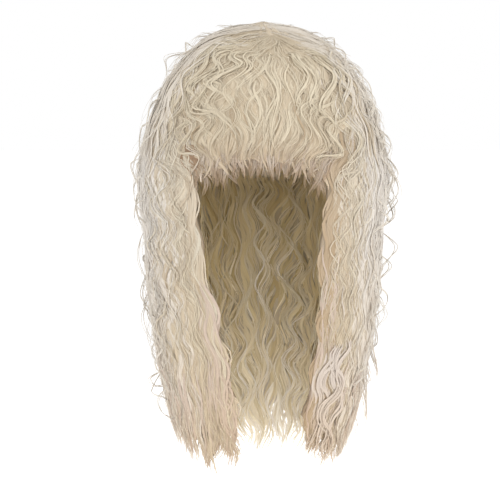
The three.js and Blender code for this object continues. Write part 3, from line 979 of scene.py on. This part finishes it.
def build_fringe():
    rng = np.random.default_rng(SEEDS["fringe"])
    top, bottom, inner_depth = -34 * MM, -100 * MM, 26 * MM
    follow = 0.7  # of the strands' own edge
    columns, rows = 44, 16
    share = np.linspace(0, 1, columns)[:, None]
    z = mix(top, bottom + follow * fringe_drop(share), np.linspace(0, 1, rows)[None, :])
    material = mass_material("fringe_mass", FRINGE_DOWN_WITH_PAINTED_SHADE, EVEN, waves=5)
    mass = hair_wall("fringe_mass", share, fringe_angle(share, z), z, inner_depth, material)
    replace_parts(mass, "fringe")

    wisps = Layer(70, 1, 20, (2.2, 5.0), (0.46, 0.6), (0.6, 2.0), 5.0, 46, flat=0.15, lift=0.1)
    curls = Layer(60, 4, 24, (0.35, 0.75), (0.62, 0.84), (-0.3, 1.2), 6.5, 46, spread=2.2, flat=0.45)
    shade = Layer(26, 2, 20, (0.5, 0.9), (0.2, 0.4), (0.5, 2.0), 5.0, 46, spread=2.0)
    edge = Layer(
        150, 6, 8, (0.25, 0.6), FRINGE_EDGE_TONES, (0.3, 9.0), 1.5, 34, spread=4.0, gather=0.7, stray=2,
    )
    # Dark strands that paint the shadow in the gap beside the right fall
    painted_shadow = Layer(9, 3, 16, (0.6, 1.5), (0.0, 1.0), (-0.3, 0.5), 3.0, 40, spread=1.5, flat=0.25, lift=0.1)
    layers = (
        (wisps, fringe_course(root=(-50, -20), tip=(-108, -88))),
        (curls, fringe_course(root=(-50, -10), tip=(-108, -84))),
        (shade, fringe_course(root=(-56, -30), tip=(-106, -80))),
    )
    at_the_edge = fringe_course(root=(-100, -80), tip=(-117, -100))
    beside_right_fall = fringe_course(root=(-92, -80), tip=(-91, -79), span=(-0.06, 0.06))
    fibre = strand_material("fringe_fibre", HAIR_TONES, DARKER_TIPS)
    edge_fibre = strand_material("fringe_edge_fibre", HAIR_TONES, DARK_TIPS)
    painted_shadow_fibre = strand_material("fringe_shade_fibre", PAINTED_SHADOW_TONES, EVEN)
    for name, material, parts in (
        ("fringe_strands", fibre, layers),
        ("fringe_edge", edge_fibre, ((edge, at_the_edge),)),
        ("fringe_shade", painted_shadow_fibre, ((painted_shadow, beside_right_fall),)),
    ):
        add_strands(rng, {name: parts}, material, "fringe_hair", "fringe", root=0.2)


def side_angle(share, z, side):
    return side * mix(opening_angle(z, side), SIDE_END, share)


def side_top(share):
    """Height where the hair of a side comes out from under the crown."""
    return crown_edge_at(mix(*SIDE_DEGREES, share))


def side_depth(share, z):
    """Depth of the inner face of a side fall."""
    return mix(FACE_EDGE_DEPTH, depth_at(-z)[..., 0], smoothstep(0, FACE_EDGE_WIDTH, share))


def lock_at(share, edges):
    """The middle of the pointed lock that a place ends in, and how far aside in it that is, up to 1."""
    number = np.clip(np.searchsorted(edges, share, side="right") - 1, 0, len(edges) - 2)
    start, end = edges[number], edges[number + 1]
    middle = (start + end) / 2
    return middle, np.clip(np.abs(share - middle) / (end - middle), 0, 1)


def notch(share, edges):
    """How far the hair ends above the tip of its lock."""
    return LOCK_NOTCH * lock_at(share, edges)[1]


def into_lock(share, edges, along):
    """Draws strands together towards the tip of their lock."""
    return mix(share, lock_at(share, edges)[0], LOCK_DRAW * smoothstep(LOCK_START, 1, along))


def down_a_fall(rng, number, along, top, tip, ragged, across, edges):
    """Heights of strands and their places across a fall, from the ends and the places of their clumps."""
    count = (len(number), 1)
    z = mix(per_strand(top, number), per_strand(tip, number) + rng.normal(0, ragged, count) * MM, along)
    place = into_lock(per_strand(across, number), edges, along) + rng.normal(0, PLACE_SCATTER, count)
    return z, place


def side_course(side, span, full_length, reach=None):
    """Strands down a side fall, over a span from the face to the back. Some end higher than the tips.

    They start under the crown, or at a reach above the tips.
    """
    tip_rise, top_rise, ragged = (-2, 14), (-14, 16), 3
    short_share = (0.45, 0.95)

    def course(rng, clumps, number, along):
        across = mix(*span, evenly(rng, clumps))
        in_fall = np.clip(across, 0, 1)
        tip = for_side(side_tips_at(in_fall), side) + rng.uniform(*tip_rise, clumps) * MM
        top = side_top(in_fall) if reach is None else tip + reach
        top = top + rng.uniform(*top_rise, clumps) * MM
        tip = tip + notch(across, SIDE_LOCKS)
        short = rng.random(clumps) > full_length
        tip = np.where(short, mix(top, tip, rng.uniform(*short_share, clumps)), tip)
        z, place = down_a_fall(rng, number, along, top, tip, ragged, across, SIDE_LOCKS)
        return side_angle(place, z, side), row_at(z)

    return course


def side_mass(name, side):
    above_tips, closing_start = 20 * MM, 0.72
    corner_rise, corner_width = 16 * MM, 0.1  # of the lower corner beside the face
    columns, rows = 46, 40
    share = np.linspace(0, 1, columns)[::side][:, None]
    down = np.linspace(0, 1, rows)[None, :]
    bottom = for_side(side_tips_at(share), side) + above_tips + notch(share, SIDE_LOCKS)
    bottom = bottom + corner_rise * (1 - smoothstep(0, corner_width, share))
    z = mix(side_top(share) + UNDER_CROWN, bottom, down)
    angle = side_angle(share, z, side)
    closing = smoothstep(closing_start, 1, down)
    material = mass_material(f"{name}_mass", SIDE_DOWN_WITH_PAINTED_SHADE, SIDE_ACROSS_WITH_PAINTED_SHADE)
    return hair_wall(f"{name}_mass", share, angle, z, side_depth(share, z), material, closing)


def side_layers(name, side):
    """Layers of a side fall and where they run, by the names of the pieces that they make."""
    edge_tones = (0.45, 0.6) if side < 0 else (0.0, 0.15)
    edge_curl_tones = (0.55, 0.8) if side < 0 else (0.3, 0.6)
    edge_curl_reach = (230 if side < 0 else 180) * MM
    wisps = Layer(92, 1, 46, (2.6, 6.5), (0.52, 0.6), (0.9, 1.7), 5.5, 50, flat=0.12, lift=0.06, stray=0.2)
    shade = Layer(20, 2, 40, (0.5, 0.9), (0.28, 0.42), (0.6, 1.5), 6.0, 50, spread=2.0, flat=0.5, lift=0.1)
    edge = Layer(30, 1, 46, (1.0, 2.6), edge_tones, (0.3, 2.0), 3.6, 56, flat=0.2, lift=0.1)
    peach = Layer(22, 1, 36, (0.8, 2.2), PEACH_TONES, (0.0, 2.0), 4.5, 52, flat=0.25, lift=0.1, stray=0.8)
    tips = Layer(150, 1, 22, (1.0, 3.0), PEACH_TONES, (0.5, 5.0), 4.5, 52, flat=0.25)
    curls = Layer(46, 4, 52, (0.35, 0.75), (0.6, 0.8), (0.0, 1.4), 7.5, 46, spread=2.6, flat=0.45, lift=0.1)
    loose = Layer(
        32, 1, 64, (0.35, 0.7), (0.66, 0.82), (-0.8, 0.6), 6.5, 38, flat=0.5, lift=0.15, stray=1.5,
    )
    edge_curls = Layer(9, 4, 46, (0.35, 0.75), edge_curl_tones, (0.0, 1.4), 5.5, 52, spread=2.6, flat=0.45)
    big_locks = Layer(
        5, 8, 26, (0.8, 2.2), ROSE_TONES, (-0.4, 0.6), 9.0, 80, spread=5.0, flat=0.15, lift=0.05, stray=1.2,
    )
    hanging = Layer(
        6, 5, 30, (0.4, 0.8), (0.5, 0.7), (-1.0, 1.0), 4.0, 60, spread=3.0, gather=0.7, stray=1, hang=13,
    )
    everywhere = side_course(side, (0.08, 1.06), full_length=0.75)
    beside_face = side_course(side, (0.0, 0.14), full_length=0.9)
    low_beside_face = side_course(side, (0.0, 0.12), full_length=1.0, reach=180 * MM)
    at_the_edge = side_course(side, (0.01, 0.18), full_length=0.9, reach=edge_curl_reach)
    at_the_tips = side_course(side, (0.01, 0.97), full_length=1.0, reach=95 * MM)
    at_the_bottom = side_course(side, (0.06, 0.3), full_length=1.0, reach=110 * MM)
    outside = side_course(side, (0.6, 0.95), full_length=0.0, reach=120 * MM)
    layers = {
        f"{name}_wisps": ((wisps, everywhere), (shade, everywhere), (edge, beside_face)),
        f"{name}_tips": ((peach, low_beside_face), (tips, at_the_tips)),
        f"{name}_curls": ((curls, everywhere), (loose, everywhere), (edge_curls, at_the_edge)),
    }
    if side > 0:
        layers[f"{name}_tips"] += ((big_locks, at_the_bottom),)
        layers[f"{name}_curls"] += ((hanging, outside),)
    return layers


# Layers on the inner faces of the back and, fewer of them, of the sides
INSIDE_WISPS = Layer(110, 1, 46, (1.2, 3.4), (0.06, 0.45), (0.5, 2.0), 4.5, 52, flat=0.2, lift=0.1)
INSIDE_CURLS = Layer(
    40, 4, 44, (0.3, 0.7), (0.4, 0.85), (1.0, 3.5), 5.5, 52, spread=2.6, flat=0.5, stray=0.3,
)
INSIDE_BRIGHT = Layer(18, 3, 46, (0.3, 0.8), (0.85, 1.0), (2.0, 5.0), 6.5, 52, spread=1.6, stray=0.6)
INSIDE_ENDS = INSIDE_WISPS._replace(clumps=100, points=20, tones=(0.5, 0.85), depth=(-2.0, 2.0))
SIDE_INSIDE = (INSIDE_WISPS._replace(clumps=34, points=36), INSIDE_CURLS._replace(clumps=9, points=36))


def build_side(name, side, inside_fibre):
    rng = np.random.default_rng(SEEDS[name])
    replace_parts(side_mass(name, side), name)
    fibre = strand_material(f"{name}_fibre", HAIR_TONES, PEACH_TIPS)
    add_strands(rng, side_layers(name, side), fibre, "side_hair", name, smooth_tip=0.25)

    course = side_course(side, (0.04, 1.0), full_length=0.8, reach=250 * MM)
    inside = {f"{name}_inside": [(layer, course) for layer in SIDE_INSIDE]}
    surface = inner_side_point(side)
    add_strands(rng, inside, inside_fibre, "side_hair", name, root=0.05, surface=surface, facing=-1)


def back_angle(share):
    return mix(SIDE_END + SIDE_GAP, ROUND - SIDE_END - SIDE_GAP, share)


def back_top(share):
    return crown_edge_at(degrees_aside(back_angle(share)))


def back_tip(share):
    return mix(*BACK_TIPS, np.abs(2 * share - 1) ** 2)


def back_course(root, inside):
    """Strands down the outer or the inner face of the back. Some end higher than the tips.

    Their roots are between two heights in millimetres, counted outside from the crown's edge.
    """
    margin = 0.05 if inside else -0.05
    tip_rise = (-18, 14) if inside else (-4, 12)
    ragged = 4
    short = 0.3 if inside else 0.25
    short_share = (0.4, 0.95) if inside else (0.5, 0.95)

    def course(rng, clumps, number, along):
        across = mix(margin, 1 - margin, evenly(rng, clumps))
        top = rng.uniform(*root, clumps) * MM
        tip = back_tip(across) + rng.uniform(*tip_rise, clumps) * MM
        if not inside:
            top = top + back_top(across)
            tip = tip + notch(across, BACK_LOCKS)
        tip = np.where(rng.random(clumps) < short, mix(top, tip, rng.uniform(*short_share, clumps)), tip)
        z, place = down_a_fall(rng, number, along, top, tip, ragged, across, BACK_LOCKS)
        return back_angle(place), row_at(z)

    return course


def back_mass():
    above_tips, closing_start = 26 * MM, 0.75
    folds, fold_depth = 24, 2 * MM  # of the inner face
    columns, rows = 76, 40
    share = np.linspace(0, 1, columns)[:, None]
    down = np.linspace(0, 1, rows)[None, :]
    bottom = back_tip(share) + above_tips + 2 * notch(share, BACK_LOCKS)
    z = mix(back_top(share) + UNDER_CROWN, bottom, down)
    angle = back_angle(share) + 0 * z
    closing = smoothstep(closing_start, 1, down)
    sink = fold_depth * np.sin(folds * angle)
    depth = depth_at(-z)[..., 1]
    material = mass_material("back_mass", BACK_DOWN_WITH_PAINTED_LIGHT_AND_SHADE, BACK_ACROSS, waves=14)
    return hair_wall("back_mass", share, angle, z, depth, material, closing, sink)


def build_back(inside_fibre):
    rng = np.random.default_rng(SEEDS["back"])
    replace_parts(back_mass(), "back_fall")
    # The back's strands get painted light at their tips
    fibre = strand_material("back_fibre", HAIR_TONES, PAINTED_LIGHT_TIPS)
    wisps = Layer(120, 1, 42, (2.6, 6.5), (0.5, 0.6), (0.9, 1.7), 5.5, 50, flat=0.12, lift=0.06, stray=0.2)
    shade = Layer(28, 2, 40, (0.5, 0.9), (0.25, 0.42), (0.5, 1.5), 6.0, 50, spread=2.0)
    curls = Layer(48, 4, 50, (0.4, 0.8), (0.6, 0.8), (0.0, 1.4), 7.5, 46, spread=2.6, flat=0.45, lift=0.1)
    course = back_course((-8, 34), inside=False)
    groups = {"back_wisps": ((wisps, course), (shade, course)), "back_curls": ((curls, course),)}
    add_strands(rng, groups, fibre, "back_hair", "back_fall", smooth_tip=0.3)

    strands = [
        grow(rng, layer, course, root=0.05, surface=inner_back_point, facing=-1, root_depth=root_depth)
        for layer, course, root_depth in (
            (INSIDE_WISPS, back_course((-130, -108), inside=True), OVER_THE_RIM),
            (INSIDE_CURLS, back_course((-140, -108), inside=True), OVER_THE_RIM),
            (INSIDE_BRIGHT, back_course((-200, -112), inside=True), OVER_THE_RIM),
            (INSIDE_ENDS, back_course((-330, -290), inside=True), MASS_DEPTH),
        )
    ]
    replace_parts(strand_mesh("inside_strands", strands, inside_fibre), "back_fall")


def flyaway_course(rows, lengths, aside, front_row=3.2):
    """Loose strands that start between two rows. A share of them is aside, where they show at the outline.

    In front they start above front_row only.
    """
    front, aside_angles, lean_spread = math.radians(50), (1.1, 1.9), 0.12

    def course(rng, clumps, number, along):
        angle = rng.uniform(-math.pi, math.pi, clumps)
        row = rng.uniform(*rows, clumps)
        in_face = (np.abs(angle) < front) & (row > front_row)
        moved = in_face | (rng.random(clumps) < aside)
        angle = np.where(moved, np.sign(angle) * rng.uniform(*aside_angles, clumps), angle)
        length = per_strand(rng.uniform(*lengths, clumps), number)
        lean = per_strand(rng.normal(0, lean_spread, clumps), number)
        return per_strand(angle, number) + lean * along, per_strand(row, number) + length * along

    return course


def build_flyaways():
    """Loose curls and fine frizz that stand out of the hair all round."""
    rng = np.random.default_rng(SEEDS["flyaways"])
    fibre = strand_material("flyaway_fibre", HAIR_TONES, EVEN)
    loops = Layer(66, 3, 40, (0.35, 0.7), (0.68, 0.84), (-4.0, 0.0), 5.5, 27, spread=1.6, lift=1.1, stray=3)
    big_loops = Layer(
        14, 2, 34, (0.45, 0.75), (0.6, 0.8), (-3.0, -1.0), 7.0, 40, spread=1.0, lift=1.1, stray=3,
    )
    tufts = Layer(
        50, 6, 12, (0.18, 0.36), (0.75, 0.85), (0.0, 1.5), 2.5, 30, spread=1.2, gather=-1.5, lift=0.4,
        stray=2, hang=6,
    )
    frizz = Layer(340, 1, 14, (0.16, 0.32), (0.55, 0.84), (-5.0, 0.0), 4.0, 30, lift=0.7, stray=3)
    groups = (
        (loops, flyaway_course(rows=(1.4, 8.4), lengths=(0.5, 1.5), aside=0.55, front_row=0)),
        (big_loops, flyaway_course(rows=(4.6, 7.0), lengths=(0.8, 1.3), aside=1.0)),
        (tufts, flyaway_course(rows=(0.2, 4.2), lengths=(0.4, 0.8), aside=0.6)),
        (frizz, flyaway_course(rows=(1.0, 8.4), lengths=(0.5, 1.5), aside=0.4)),
    )
    strands = [grow(rng, layer, course, root=0.2) for layer, course in groups]
    strand_mesh("flyaway_strands", strands, fibre)


def build_stage():
    size, below, paleness, glow = 12.0, 0.35, 0.9, 0.2
    height = CAD_BOX[0].z - below
    mesh = bpy.data.meshes.new("floor")
    corners = [(-size, -size, height), (size, -size, height), (size, size, height), (-size, size, height)]
    mesh.from_pydata(corners, [], [(0, 1, 2, 3)])
    floor = new_object("floor", mesh)
    material, tree, shader = new_material("pale_floor", roughness=0.9, specular=0.1)
    grey = (paleness, paleness, paleness, 1)
    feed(tree, shader, {"Base Color": grey, "Emission Color": (*WHITE, 1), "Emission Strength": glow})
    mesh.materials.append(material)


def area_light(name, place, size, energy, colour):
    """A round light that shines at the middle of the wig."""
    middle = Vector((0, 0, -0.19))
    data = bpy.data.lights.new(name, "AREA")
    data.shape = "DISK"
    data.size = size
    data.energy = energy
    data.color = colour
    lamp = new_object(name, data)
    lamp.location = place
    lamp.rotation_euler = (middle - Vector(place)).to_track_quat("-Z", "Y").to_euler()


def build_lights():
    warm = (1, 0.985, 0.96)
    soft = (1, 0.99, 0.97)
    area_light("key", (0.9, -2.4, 0.35), size=2.4, energy=19.5, colour=warm)
    area_light("fill", (-0.7, -2.6, -0.3), size=2.4, energy=15.5, colour=soft)
    area_light("right_side", (-2.3, -0.7, 0.9), size=2.2, energy=7.5, colour=warm)
    area_light("left_side", (2.3, -0.7, 0.9), size=2.2, energy=9.5, colour=warm)
    area_light("rear", (0.3, 2.5, 0.5), size=1.8, energy=12, colour=soft)
    world = bpy.data.worlds.new("studio")
    world.use_nodes = True
    tree = world.node_tree
    feed(tree, tree.nodes["Background"], {"Color": (*WHITE, 1), "Strength": 1.0})
    bpy.context.scene.world = world


def build_camera():
    distance = 2.0
    elevation = math.radians(6)
    target = Vector((-0.013, 0, -0.194))
    back = Vector((0, -math.cos(elevation), math.sin(elevation)))
    data = bpy.data.cameras.new("camera")
    data.sensor_width = 36
    data.lens = 144
    camera = new_object("camera", data)
    camera.location = target + back * distance
    camera.rotation_euler = (-back).to_track_quat("-Z", "Y").to_euler()
    bpy.context.scene.camera = camera


# Inside strands: painted shade high inside the wig and painted light towards the tips
inside_hair = strand_material("inside_fibre", INSIDE_TONES, PAINTED_SHADE_AND_LIGHT_DOWN)
build_camera()
build_cap()
build_crown()
build_fringe()
build_side("right_fall", -1, inside_hair)
build_side("left_fall", 1, inside_hair)
build_back(inside_hair)
build_flyaways()
build_stage()
build_lights()
bpy.context.scene.view_settings.view_transform = "Standard"
